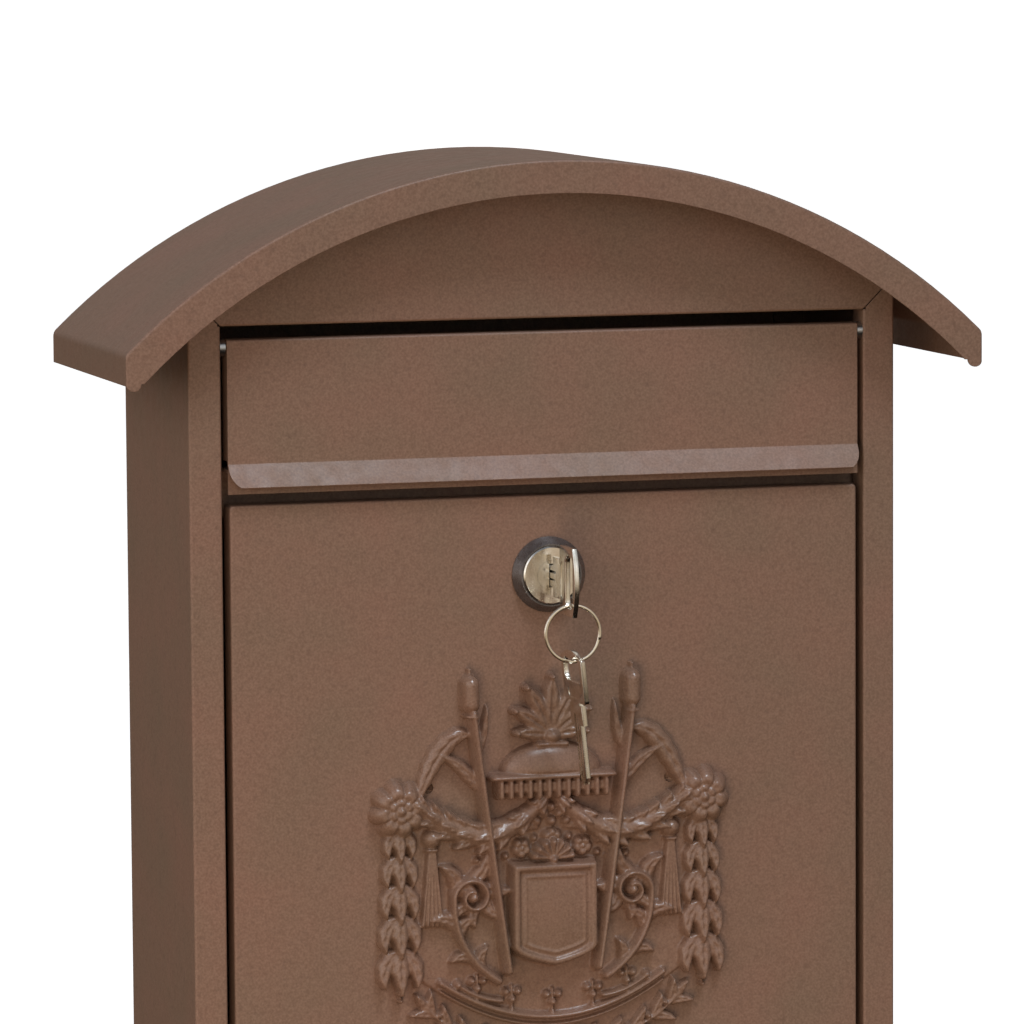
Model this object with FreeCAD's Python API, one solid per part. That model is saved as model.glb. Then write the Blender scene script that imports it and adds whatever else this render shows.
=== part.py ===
import FreeCAD, Part
import math
import os

from FreeCAD import Vector

# Wall mounted mailbox of folded sheet steel, in millimetres.
# The wall is the plane y = 0 and the box stands out of it towards -Y.
# +X is to the right of a person who faces the box, and +Z is up.
# The origin is the centre of the four wall fixing holes, on the back face.

# ---- driving dimensions ----
sheet = 1.2                  # thickness of every folded sheet
bend = 1.0                   # outer radius of the small folds

body_width = 290.0
body_depth = 110.0
body_bottom = -190.0
strip = 13.0                 # width of the frame strips round the front opening
lip_depth = 12.0             # how far the inner edge of a strip is folded back
rear_flange = 14.0
mitre_gap = 0.4

roof_width = 349.0
roof_overhang = 22.0         # how far the roof stands in front of the body
roof_apex = 240.0
roof_radius = 249.0
roof_corner = 4.0            # bend between the arched sheet and its eaves
fascia_height = 13.0
fascia_tip = 3.0             # rounding of the fascia's two lower ends
eave_bottom = 156.5

slot_top = 177.0             # lower edge of the gable, above the flap
flap_half = 129.5
flap_top = 171.7
flap_crease = 123.2
flap_lip_out = 6.0
flap_lip_bottom = 114.4
flap_fold = 8.0              # depth of the flap's top fold and of its ears
flap_lip_corner = 8.0
flap_axis_drop = 3.3         # hinge axis below the flap's top edge

sill_bottom = 111.4
sill_top = 121.0
sill_depth = 16.0
sill_rear_bottom = 101.0

door_half = 129.0
door_top = 107.0
door_gap = 2.4               # between the door and the rail below it
door_fold = 10.0
hinge_inset = 4.0            # hinge axes behind the front face
door_axis_rise = 4.0         # hinge axis above the door's bottom edge

pin_radius = 1.5
pin_collar = 3.5
pin_head = 2.6
hinge_clearance = 0.05
side_clearance = 0.3
ring_clearance = 0.55        # between the ring's wire and the spare key

lock_z = 75.6
bezel_radius = 15.0
bezel_front_radius = 12.4
bezel_height = 4.8
bezel_edge = 0.8             # straight part of the bezel's rim, before its cone
face_radius = 11.6
face_height = 5.2
face_seat = 2.0              # underside of the lock's face, in front of the door
face_chamfer = 0.6
barrel_radius = 8.0
barrel_rear = 18.0           # behind the front face of the door
barrel_play = 0.1
nut_radius = 12.5            # to the corners of the hexagon
nut_height = 4.0
plug_radius = 5.95
plug_proud = 0.2
tail_radius = 4.95
tail_half = 3.5              # between the flats of the tail
keyway_width = 2.4
keyway_height = 9.4
keyway_depth = 14.5          # behind the front face of the door
cam_length = 33.0
cam_width = 14.0
cam_thickness = 2.0
cam_corner = 3.0
cam_play = 0.5               # between the barrel's end and the cam
screw_radius = 2.0
screw_head_radius = 4.0
screw_head_height = 2.4
screw_slot_half = 0.5
screw_slot_length = 6.0
screw_washer_radius = 5.5
screw_washer_height = 0.6

key_thickness = 2.0
blade_length = 24.0
blade_height = 8.6
blade_showing = 4.5          # blade between the lock's face and the shoulder
cut_depths = (1.0, 1.8, 1.3, 2.0, 1.2)
first_cut = 5.0              # from the shoulder
cut_pitch = 3.4
cut_mouth = 0.8              # half width of a cut at the blade's edge
cut_root = 0.3
shoulder_length = 8.0
shoulder_height = 16.0
neck_length = 1.0
neck_height = 11.0
bow_length = 20.5
bow_height = 27.0
bow_corner = 1.5
bow_crown = 3.5              # how far the bow's end bulges
bow_end_rim = 3.4
bow_side_rim = 3.2
bow_hole_length = 9.0
bow_hole_corner = 3.0

ring_radius = 11.0
ring_wire = 0.8
ring_drop = 8.0              # ring centre below the rim that carries it
ring_plane = 33.0            # ring in front of the door's face
spare_lean = 6.0             # degrees that the spare key leans to the right

crest_width = 150.0
crest_top = 38.7
crest_bottom = -128.5
crest_relief = 9.0           # how far the crest stands out of the door
crest_field_relief = 2.0
crest_stud_radius = 2.0
crest_stud_length = 3.2
crest_stud_play = 0.2
clip_radius = 5.0
clip_thickness = 0.8
rosette_radius = 12.0
rosette_drop = 54.0          # below the top of the crest
swag_width = 10.0
swag_sag = 15.5
swag_start_drop = 50.0
husk_width = 13.0
husk_length = 70.0
palmette_drop = 27.0
palmette_reach = 15.0        # length of a level leaf
palmette_crown = 8.0         # how much longer the upright leaf is
leaf_width = 4.6
bowl_drop = 41.2
bowl_radius = 21.0
band_half = 24.5
shield_half = 18.4
shield_drop = 76.4
shield_side = 34.0
shield_point = 9.0
shield_rim = 3.4
reed_head = (33.4, 8.6)      # from the centre line, and below the top of the crest
reed_foot = (18.6, 120.0)
reed_width = 4.0
reed_head_width = 8.0
reed_spike_width = 1.6
reed_spike_drop = 0.8
scroll_eye = (33.0, 90.0)
scroll_radius = 7.8
ribbon_radius = 70.0

wall_hole_radius = 3.25
wall_hole_pitch_x = 200.0
wall_hole_pitch_z = 260.0

# ---- derived places ----
half_body = body_width / 2
front = -body_depth
half_opening = half_body - strip
rail_top = body_bottom + strip
half_roof = roof_width / 2
roof_centre_z = roof_apex - roof_radius
roof_front = front - roof_overhang
under_roof = roof_radius - sheet
door_bottom = rail_top + door_gap
hinge_y = front + hinge_inset
flap_axis_z = flap_top - flap_axis_drop
door_axis_z = door_bottom + door_axis_rise
face_y = front - face_height
shoulder_y = face_y - blade_showing
cam_y = front + barrel_rear + cam_play
screw_washer_y = cam_y + cam_thickness
screw_head_y = screw_washer_y + screw_washer_height
keyway_end_y = front + keyway_depth
bow_start = shoulder_length + neck_length
bow_end = bow_start + bow_length
rim_z = lock_z - bow_height / 2 + bow_side_rim / 2
ring_y = front - ring_plane
ring_z = rim_z - ring_drop
spare_wire_z = ring_z - ring_radius
crest_mid_z = (crest_top + crest_bottom) / 2


# ---- small building blocks ----
def block(x0, x1, y0, y1, z0, z1):
    """Box between two corners."""
    return Part.makeBox(x1 - x0, y1 - y0, z1 - z0, Vector(x0, y0, z0))


def rod(radius, start, direction, length):
    """Cylinder from a point along a direction."""
    return Part.makeCylinder(radius, length, Vector(*start), Vector(*direction))


def prism_y(points, y0, y1):
    """Closed outline of (x, z) points, extruded from y0 to y1."""
    wire = Part.makePolygon([Vector(x, y0, z) for x, z in points + points[:1]])
    return Part.Face(wire).extrude(Vector(0, y1 - y0, 0))


def prism_x(points, x0, x1):
    """Closed outline of (y, z) points, extruded from x0 to x1."""
    wire = Part.makePolygon([Vector(x0, y, z) for y, z in points + points[:1]])
    return Part.Face(wire).extrude(Vector(x1 - x0, 0, 0))


def turned(points, y, z):
    """Solid of revolution about an axis along Y, from (radius, y) points."""
    wire = Part.makePolygon([Vector(r, y + v, z) for r, v in points + points[:1]])
    return Part.Face(wire).revolve(Vector(0, 0, z), Vector(0, 1, 0), 360)


def folded(path, thickness):
    """Outline of a folded sheet: a path of points and its copy one thickness to the left."""
    normals = []
    for (a0, b0), (a1, b1) in zip(path, path[1:]):
        length = math.hypot(a1 - a0, b1 - b0)
        normals.append(((b0 - b1) / length, (a1 - a0) / length))
    inner = []
    for i, (a, b) in enumerate(path):
        n0 = normals[max(i - 1, 0)]
        n1 = normals[min(i, len(normals) - 1)]
        scale = thickness / (1 + n0[0] * n1[0] + n0[1] * n1[1])
        inner.append((a + scale * (n0[0] + n1[0]), b + scale * (n0[1] + n1[1])))
    return path + inner[::-1]


def fuse_all(shapes):
    """One solid from several that touch or overlap."""
    return shapes[0].fuse(shapes[1:]).removeSplitter()


def mirrored(shape):
    """The same shape on the other side of the middle plane."""
    return shape.mirror(Vector(0, 0, 0), Vector(1, 0, 0))


def rounded(shape, radius, chosen):
    """Fillets the edges for which chosen(edge) is true."""
    return shape.makeFillet(radius, [edge for edge in shape.Edges if chosen(edge)])


def near(value, target):
    return abs(value - target) < 1e-4


def runs_along(edge, axis):
    """True for a straight edge parallel to axis 0, 1 or 2."""
    if edge.Curve.TypeId != "Part::GeomLine":
        return False
    ends = [vertex.Point for vertex in edge.Vertexes]
    return all(near(ends[0][i], ends[1][i]) for i in range(3) if i != axis)


# ---- cabinet ----
def arch_height(radius, x):
    """Height of an arc about the roof's centre at a given x."""
    return roof_centre_z + math.sqrt(radius ** 2 - x ** 2)


def arch_face(radius, half, corner, bottom, y):
    """Face under an arc with rounded shoulders and straight sides down to bottom."""
    corner_x = half - corner
    corner_z = arch_height(radius - corner, corner_x)
    steep = math.atan2(corner_z - roof_centre_z, corner_x)
    touch_x = radius * math.cos(steep)
    touch_z = roof_centre_z + radius * math.sin(steep)
    top = Part.Arc(Vector(-touch_x, y, touch_z), Vector(0, y, roof_centre_z + radius),
                   Vector(touch_x, y, touch_z)).toShape()
    middle = Vector(corner_x + corner * math.cos(steep / 2), y, corner_z + corner * math.sin(steep / 2))
    right = Part.Arc(Vector(touch_x, y, touch_z), middle, Vector(half, y, corner_z)).toShape()
    right_side = Part.makeLine(Vector(half, y, corner_z), Vector(half, y, bottom))
    floor = Part.makeLine(Vector(half, y, bottom), Vector(-half, y, bottom))
    left_side = Part.makeLine(Vector(-half, y, bottom), Vector(-half, y, corner_z))
    return Part.Face(Part.Wire([top, right, right_side, floor, left_side, mirrored(right)]))


def fascia_face(y):
    """Curved band under the front edge of the roof, with two rounded lower ends."""
    low_radius = roof_radius - fascia_height
    tip_x = half_roof - fascia_tip
    tip_z = arch_height(low_radius + fascia_tip, tip_x)
    blank = arch_face(roof_radius, half_roof, roof_corner, tip_z, y)
    steep = math.atan2(tip_z - roof_centre_z, tip_x)
    touch_x = low_radius * math.cos(steep)
    touch_z = roof_centre_z + low_radius * math.sin(steep)
    opening = Part.Face(Part.Wire([
        Part.Arc(Vector(-touch_x, y, touch_z), Vector(0, y, roof_centre_z + low_radius),
                 Vector(touch_x, y, touch_z)).toShape(),
        Part.makeLine(Vector(touch_x, y, touch_z), Vector(touch_x, y, touch_z - roof_radius)),
        Part.makeLine(Vector(touch_x, y, touch_z - roof_radius), Vector(-touch_x, y, touch_z - roof_radius)),
        Part.makeLine(Vector(-touch_x, y, touch_z - roof_radius), Vector(-touch_x, y, touch_z))]))
    tips = []
    for side in (-1, 1):
        circle = Part.makeCircle(fascia_tip, Vector(side * tip_x, y, tip_z), Vector(0, 1, 0))
        tips.append(Part.Face(Part.Wire(circle)))
    return blank.cut(opening).fuse(tips).removeSplitter()


def roof_shell():
    """Arched sheet with eaves folded down at both sides and a fascia at the front."""
    outer = arch_face(roof_radius, half_roof, roof_corner, eave_bottom, roof_front)
    inner = arch_face(under_roof, half_roof - sheet, roof_corner - sheet, eave_bottom, roof_front)
    arch = outer.cut(inner).extrude(Vector(0, -roof_front, 0))
    fascia = fascia_face(roof_front).extrude(Vector(0, sheet, 0))
    roof = fuse_all([arch, fascia])

    def front_bend(edge):
        on_front = near(edge.BoundBox.YMax, roof_front)
        at_arc = edge.BoundBox.ZMax > roof_apex - 1 and edge.BoundBox.XLength > roof_radius
        at_end = runs_along(edge, 2) and near(abs(edge.BoundBox.Center.x), half_roof)
        at_shoulder = edge.BoundBox.XLength < roof_corner and edge.BoundBox.ZMin > eave_bottom + 5
        return on_front and (at_arc or at_end or at_shoulder)

    return rounded(roof, bend, front_bend)


def gable_panel():
    """Front sheet between the slot and the roof, mitred to the frame strips."""
    corner_z = slot_top + strip
    drop = mitre_gap / math.sqrt(2)
    outline = [(-half_opening + drop, slot_top), (half_opening - drop, slot_top),
               (half_body, corner_z + drop), (half_body, roof_apex),
               (-half_body, roof_apex), (-half_body, corner_z + drop)]
    front_sheet = prism_y(outline, front, front + sheet)
    lip = block(-half_opening + 2 * sheet, half_opening - 2 * sheet, front, front + lip_depth,
                slot_top, slot_top + sheet)
    arch = arch_face(under_roof, half_roof, roof_corner, slot_top - 1, front)
    arch = arch.extrude(Vector(0, lip_depth, 0))
    panel = fuse_all([front_sheet, lip]).common(arch)
    return rounded(panel, bend, lambda edge: runs_along(edge, 0)
                   and near(edge.BoundBox.ZMax, slot_top) and near(edge.BoundBox.YMax, front))


def left_side_panel():
    """Side wall folded round the front opening and folded in again at the back."""
    top = arch_height(under_roof, half_body)
    wall = block(-half_body, -half_body + sheet, front, 0, body_bottom, top)
    strip_sheet = block(-half_body, -half_opening, front, front + sheet, body_bottom, top)
    lip = block(-half_opening - sheet, -half_opening, front, front + lip_depth, body_bottom, slot_top)
    rear = block(-half_body, -half_body + rear_flange, -2 * sheet, -sheet, body_bottom + sheet, top)
    lip_void = block(-half_opening - sheet, -half_opening, front, 0, slot_top, top)
    panel = fuse_all([wall, strip_sheet, lip, rear])
    panel = rounded(panel, bend, lambda edge: runs_along(edge, 2) and near(edge.BoundBox.YMax, front))
    drop = mitre_gap / math.sqrt(2)
    over = [(-half_opening + 1, slot_top - drop - 1), (-half_body, slot_top + strip - drop),
            (-half_body, top + 1), (-half_opening + 1, top + 1)]
    under = [(-half_opening + 1, rail_top + drop + 1), (-half_body, body_bottom + drop),
             (-half_body, body_bottom - 1), (-half_opening + 1, body_bottom - 1)]
    panel = panel.cut([prism_y(over, front - 1, front + sheet), prism_y(under, front - 1, front + sheet),
                       lip_void])
    for z in (flap_axis_z, door_axis_z):
        panel = panel.cut(rod(pin_radius, (-half_body + 2 * sheet, hinge_y, z), (1, 0, 0), strip))
    return panel


def back_panel():
    """Flat sheet against the wall, with the four fixing holes."""
    inside = half_body - sheet
    blank = arch_face(under_roof, half_roof, roof_corner, body_bottom + sheet, -sheet)
    panel = blank.extrude(Vector(0, sheet, 0)).common(
        block(-inside, inside, -sheet, 0, body_bottom + sheet, roof_apex))
    for x in (-wall_hole_pitch_x / 2, wall_hole_pitch_x / 2):
        for z in (-wall_hole_pitch_z / 2, wall_hole_pitch_z / 2):
            panel = panel.cut(rod(wall_hole_radius, (x, -sheet, z), (0, 1, 0), sheet))
    return panel


def bottom_pan(side_panels):
    """Floor with a front rail, mitred to the side strips, and a folded edge at the back."""
    inside = half_body - sheet
    drop = mitre_gap / math.sqrt(2)
    floor = block(-inside, inside, front + sheet, 0, body_bottom, body_bottom + sheet)
    rail_outline = [(-half_body + drop, body_bottom), (half_body - drop, body_bottom),
                    (half_opening - drop, rail_top), (-half_opening + drop, rail_top)]
    rail = prism_y(rail_outline, front, front + sheet)
    lip = block(-half_opening + 2 * sheet, half_opening - 2 * sheet, front, front + lip_depth,
                rail_top - sheet, rail_top)
    floor_edge = block(-inside, inside, front, front + sheet, body_bottom, body_bottom + sheet)
    rear = block(-inside + rear_flange, inside - rear_flange, -2 * sheet, -sheet,
                 body_bottom, body_bottom + lip_depth)
    pan = fuse_all([floor, floor_edge, rail, lip, rear])
    pan = rounded(pan, bend, lambda edge: runs_along(edge, 0) and near(edge.BoundBox.YMax, front)
                  and edge.Length > half_body)
    return pan.cut(side_panels)


def slot_sill():
    """Rail between the slot and the door, folded back and down behind the lock's cam."""
    inside = half_body - sheet
    nose = folded([(front, sill_bottom), (front, sill_top), (front + sill_depth, sill_top)], -sheet)
    nose_rail = prism_x(nose, -flap_half, flap_half)
    web = block(-inside, inside, front + sill_depth, front + sill_depth + sheet, sill_rear_bottom, sill_top)
    tabs = [block(x0, x0 + sheet, front + sill_depth, front + sill_depth + lip_depth,
                  sill_rear_bottom, sill_top) for x0 in (-inside, inside - sheet)]
    sill = fuse_all([nose_rail, web] + tabs)
    return rounded(sill, bend, lambda edge: runs_along(edge, 0)
                   and near(edge.BoundBox.ZMax, sill_top) and near(edge.BoundBox.YMax, front))


def left_roof_cleat():
    """Angle that joins the top of the side wall to the underside of the roof."""
    wall_face = -half_body + sheet
    low = arch_height(under_roof, half_body) - 2 * lip_depth
    leg = block(wall_face, wall_face + sheet, front + lip_depth, -2 * lip_depth, low,
                arch_height(under_roof, wall_face) + sheet)
    under = arch_face(under_roof, half_roof, roof_corner, low - 1, front).extrude(Vector(0, -front, 0))
    over = arch_face(under_roof - sheet, half_roof - sheet, roof_corner, low - 1, front)
    band = under.cut(over.extrude(Vector(0, -front, 0)))
    top = band.common(block(wall_face, wall_face + lip_depth, front + lip_depth, -2 * lip_depth, low,
                            roof_apex))
    return fuse_all([leg.common(under), top])


# ---- hinge pins ----
def left_pin(leaf_half, z):
    """Riveted pin: head inside the strip, collar in the gap, and a shank for the moving leaf."""
    lip_inner = -half_opening - sheet
    leaf = -leaf_half
    head = rod(pin_head, (lip_inner - sheet, hinge_y, z), (1, 0, 0), sheet)
    shank = rod(pin_radius, (lip_inner, hinge_y, z), (1, 0, 0), half_opening - leaf_half + 3 * sheet)
    collar_length = half_opening - leaf_half - side_clearance
    collar = rod(pin_collar, (leaf - side_clearance - collar_length, hinge_y, z), (1, 0, 0), collar_length)
    return fuse_all([head, shank, collar])


# ---- flap ----
def mail_flap():
    """Flap with a top fold, two pierced ears and a lip that sheds rain over the sill."""
    path = [(front + flap_fold, flap_top), (front, flap_top), (front, flap_crease),
            (front - flap_lip_out, flap_lip_bottom)]
    plate = prism_x(folded(path, sheet), -flap_half, flap_half)
    ears = [block(x0, x0 + sheet, front, front + flap_fold, flap_crease + sheet, flap_top)
            for x0 in (-flap_half, flap_half - sheet)]
    flap = fuse_all([plate] + ears)
    flap = rounded(flap, bend, lambda edge: runs_along(edge, 0) and near(edge.BoundBox.YMax, front)
                   and near(edge.BoundBox.ZMax, flap_top))
    lip_face_y = front - flap_lip_out - sheet
    corner_z = flap_lip_bottom - sheet
    for side in (-1, 1):
        x = side * flap_half
        inner_x = x - side * flap_lip_corner
        square = block(min(x, inner_x) - 0.01, max(x, inner_x) + 0.01, lip_face_y, front - 0.5,
                       corner_z, corner_z + flap_lip_corner)
        disc = rod(flap_lip_corner, (inner_x, lip_face_y, corner_z + flap_lip_corner), (0, 1, 0),
                   flap_lip_out + sheet)
        flap = flap.cut(square.cut(disc))
        flap = flap.cut(rod(pin_radius + hinge_clearance, (x - side * 2 * sheet, hinge_y, flap_axis_z),
                            (side, 0, 0), 3 * sheet))
    return flap


# ---- door ----
def crest_stud_places():
    return [(x, z) for x in (-crest_width / 3, crest_width / 3)
            for z in (crest_mid_z - crest_width / 4, crest_mid_z + crest_width / 4)]


def door_panel():
    """Shallow pan with holes for the lock, the crest's studs and the hinge pins."""
    pan = block(-door_half, door_half, front, front + door_fold, door_bottom, door_top)
    pan = rounded(pan, bend + sheet / 2, lambda edge: runs_along(edge, 1))
    pan = rounded(pan, bend, lambda edge: near(edge.BoundBox.YMax, front))
    inner = block(-door_half + sheet, door_half - sheet, front + sheet, front + door_fold,
                  door_bottom + sheet, door_top - sheet)
    pan = pan.cut(inner)
    pan = pan.cut(rod(barrel_radius + barrel_play, (0, front, lock_z), (0, 1, 0), sheet))
    for x, z in crest_stud_places():
        pan = pan.cut(rod(crest_stud_radius + crest_stud_play, (x, front, z), (0, 1, 0), sheet))
    for side in (-1, 1):
        start = (side * (door_half - 2 * sheet), hinge_y, door_axis_z)
        pan = pan.cut(rod(pin_radius + hinge_clearance, start, (side, 0, 0), 3 * sheet))
    return pan


# ---- crest: one plain cast ornament of leaves, without any mark ----
def crest_point(x, drop, out=0.0):
    """Point of the crest, from its centre line, its top and the face of the door."""
    return Vector(x, front - out, crest_top - drop)


def boss(x, drop, radius, out):
    """Round raised disc."""
    return Part.makeCylinder(radius, out, crest_point(x, drop), Vector(0, -1, 0))


def bar(start, end, width, out):
    """Straight raised bar with round ends between two places."""
    run = crest_point(*end) - crest_point(*start)
    across = Vector(run.z, 0, -run.x).normalize() * (width / 2)
    corners = [crest_point(*start) - across, crest_point(*end) - across,
               crest_point(*end) + across, crest_point(*start) + across]
    blade = Part.Face(Part.makePolygon(corners + corners[:1])).extrude(Vector(0, -out, 0))
    return fuse_all([blade, boss(*start, width / 2, out), boss(*end, width / 2, out)])


def band_arc(centre, radius, width, start, end, out):
    """Curved raised band, part of a ring that lies on the door, between two angles in degrees."""
    middle = crest_point(*centre)
    outward = Vector(math.cos(math.radians(start)), 0, math.sin(math.radians(start)))
    lift = Vector(0, -out, 0)
    corners = [middle + outward * (radius - width / 2),
               middle + outward * (radius + width / 2),
               middle + outward * (radius + width / 4) + lift,
               middle + outward * (radius - width / 4) + lift]
    section = Part.Face(Part.makePolygon(corners + corners[:1]))
    return section.revolve(middle, Vector(0, -1, 0), end - start)


def crest_field():
    """Low plate behind the raised shapes: wide shoulders above a round base."""
    half = crest_width * 0.36
    base_z = crest_bottom + half + swag_width / 4
    plate_top = crest_top - shield_drop + rosette_radius
    plate = block(-half, half, front - crest_field_relief, front, base_z, plate_top)
    base = rod(half, (0, front, base_z), (0, -1, 0), crest_field_relief)
    return [plate, base]


def shield_prism(inset, out, depth):
    """Square shoulders and a low pointed base, drawn in by an inset."""
    half = shield_half - inset
    top = crest_top - shield_drop - inset
    low = crest_top - shield_drop - shield_side
    point = low - shield_point + inset
    outline = [(-half, top), (half, top), (half, low), (0, point), (-half, low)]
    return prism_y(outline, front - out, front - out + depth)


def crest_shield():
    """Raised blank shield with a sunk field."""
    sunk = shield_rim / 2
    return shield_prism(0, crest_relief, crest_relief).cut(shield_prism(shield_rim, crest_relief, sunk))


def crest_bowl():
    """Low dome on a straight band, between the palmette and the swags."""
    band_height = bowl_radius * 0.4
    dome = boss(0, bowl_drop + band_height, bowl_radius, crest_relief)
    dome = dome.common(block(-bowl_radius, bowl_radius, front - crest_relief, front,
                             crest_top - bowl_drop - 0.1, crest_top - palmette_drop - 2))
    band = block(-band_half, band_half, front - crest_relief, front,
                 crest_top - bowl_drop - band_height, crest_top - bowl_drop)
    return [dome, band]


def crest_palmette():
    """Fan of leaves with round tips."""
    heart = (0, palmette_drop)
    leaves = [boss(*heart, bowl_radius / 3, crest_relief - 1)]
    for step in range(-3, 4):
        angle = math.radians(28 * step)
        reach = palmette_reach + palmette_crown * math.cos(angle)
        tip = (reach * math.sin(angle), palmette_drop - reach * math.cos(angle))
        leaves.append(bar(heart, tip, leaf_width, crest_relief - 2))
    return leaves


def crest_side():
    """Right half: swag, rosette, hanging husks, reed, scroll and one end of the ribbon."""
    rosette_x = crest_width / 2 - rosette_radius
    span = rosette_x / 2
    swag_radius = (span ** 2 + swag_sag ** 2) / (2 * swag_sag)
    sweep = math.degrees(math.asin(span / swag_radius))
    swag = band_arc((span, swag_start_drop + swag_sag - swag_radius), swag_radius, swag_width,
                    270 - sweep, 270 + sweep, crest_relief - 1)
    rosette = boss(rosette_x, rosette_drop, rosette_radius, crest_relief - 1)
    husk_top = (rosette_x, rosette_drop + rosette_radius / 2)
    husks = bar(husk_top, (rosette_x, husk_top[1] + husk_length), husk_width, crest_relief - 2)
    reed = bar(reed_head, reed_foot, reed_width, crest_relief)
    head_x, head_drop = reed_head
    head = bar((head_x, head_drop - reed_head_width / 2), (head_x, head_drop + 5), reed_head_width,
               crest_relief - 1)
    spike = bar(reed_head, (head_x, reed_spike_drop), reed_spike_width, crest_relief / 2)
    scroll = band_arc(scroll_eye, scroll_radius, reed_width, 0, 360, crest_relief - 2)
    stem_radius = scroll_eye[0] + scroll_radius - reed_foot[0]
    stem = band_arc((reed_foot[0], scroll_eye[1]), stem_radius, reed_width, 270, 360, crest_relief - 3)
    return [swag, rosette, husks, reed, head, spike, scroll, stem]


def crest_casting():
    """Cast ornament with four studs that pass through the door."""
    right = crest_side()
    left = [mirrored(shape) for shape in right]
    ribbon_centre = crest_top - crest_bottom - ribbon_radius - swag_width / 2
    ribbon = band_arc((0, ribbon_centre), ribbon_radius, swag_width, 212, 328, crest_relief / 2)
    studs = []
    for x, z in crest_stud_places():
        studs.append(rod(crest_stud_radius, (x, front, z), (0, 1, 0), crest_stud_length))
        studs.append(rod(3 * crest_stud_radius, (x, front, z), (0, -1, 0), crest_field_relief + 1))
    middle = crest_field() + [crest_shield(), ribbon] + crest_bowl() + crest_palmette()
    return fuse_all(middle + left + right + studs)


def crest_clips():
    """Four push-on washers that hold the crest's studs inside the door."""
    clips = []
    for x, z in crest_stud_places():
        place = (x, front + sheet, z)
        washer = rod(clip_radius, place, (0, 1, 0), clip_thickness)
        clips.append(washer.cut(rod(crest_stud_radius, place, (0, 1, 0), clip_thickness)))
    return Part.Compound(clips)


# ---- lock ----
def lock_bezel():
    """Conical ring round the lock on the face of the door."""
    recess = face_radius + 0.2
    hole = barrel_radius + barrel_play
    return turned([(hole, 0), (bezel_radius, 0), (bezel_radius, -bezel_edge),
                   (bezel_front_radius, -bezel_height), (recess, -bezel_height),
                   (recess, -face_seat), (hole, -face_seat)], front, lock_z)


def lock_housing():
    """Chromed disc with a barrel that passes through the door."""
    bore = plug_radius + hinge_clearance
    return turned([(bore, -face_height), (face_radius - face_chamfer, -face_height),
                   (face_radius, -face_height + face_chamfer), (face_radius, -face_seat),
                   (barrel_radius, -face_seat), (barrel_radius, barrel_rear), (bore, barrel_rear)],
                  front, lock_z)


def lock_nut():
    """Hexagonal nut that clamps the lock to the door from inside."""
    inner_y = front + sheet
    corners = []
    for i in range(6):
        angle = math.radians(60 * i)
        corners.append((nut_radius * math.cos(angle), lock_z + nut_radius * math.sin(angle)))
    nut = prism_y(corners, inner_y, inner_y + nut_height)
    return nut.cut(rod(barrel_radius, (0, inner_y, lock_z), (0, 1, 0), nut_height))


def tail_flats(y0, y1):
    """Room between the two flats of the plug's tail."""
    return block(-tail_half, tail_half, y0, y1, lock_z - plug_radius, lock_z + plug_radius)


def screw_bore(y0, y1):
    """Shank or hole of the cam's screw."""
    return rod(screw_radius, (0, y0, lock_z), (0, 1, 0), y1 - y0)


def lock_plug():
    """Turning core with a keyway, and a flat-sided tail for the cam."""
    core_start = face_y - plug_proud
    core = rod(plug_radius, (0, core_start, lock_z), (0, 1, 0), cam_y - core_start)
    tail = rod(tail_radius, (0, front + barrel_rear, lock_z), (0, 1, 0), cam_play + cam_thickness)
    keyway = block(-keyway_width / 2, keyway_width / 2, face_y - 1, keyway_end_y,
                   lock_z - keyway_height / 2, lock_z + keyway_height / 2)
    thread = screw_bore(keyway_end_y + 1, screw_washer_y + 1)
    return fuse_all([core, tail.common(tail_flats(front, screw_washer_y))]).cut([keyway, thread])


def lock_cam():
    """Flat cam that lies to the left when the lock is open and points up when it is locked."""
    arm = block(-cam_length, 0, cam_y, screw_washer_y, lock_z - cam_width / 2, lock_z + cam_width / 2)
    hub = rod(cam_width / 2, (0, cam_y, lock_z), (0, 1, 0), cam_thickness)
    hole = rod(tail_radius, (0, cam_y, lock_z), (0, 1, 0), cam_thickness)
    cam = fuse_all([arm, hub])
    cam = rounded(cam, cam_corner,
                  lambda edge: runs_along(edge, 1) and near(edge.BoundBox.XMax, -cam_length))
    return cam.cut(hole.common(tail_flats(cam_y, screw_washer_y)))


def cam_washer():
    """Washer under the head of the cam's screw."""
    disc = rod(screw_washer_radius, (0, screw_washer_y, lock_z), (0, 1, 0), screw_washer_height)
    return disc.cut(screw_bore(screw_washer_y, screw_head_y))


def cam_screw():
    """Cross-slotted screw that holds the cam on the plug."""
    half = screw_slot_length / 2
    low_y = screw_head_y + screw_head_height / 2
    high_y = screw_head_y + screw_head_height
    head = rod(screw_head_radius, (0, screw_head_y, lock_z), (0, 1, 0), screw_head_height)
    screw = fuse_all([head, screw_bore(keyway_end_y + 1.5, screw_head_y)])
    level = block(-half, half, low_y, high_y, lock_z - screw_slot_half, lock_z + screw_slot_half)
    upright = block(-screw_slot_half, screw_slot_half, low_y, high_y, lock_z - half, lock_z + half)
    return screw.cut([level, upright])


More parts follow.
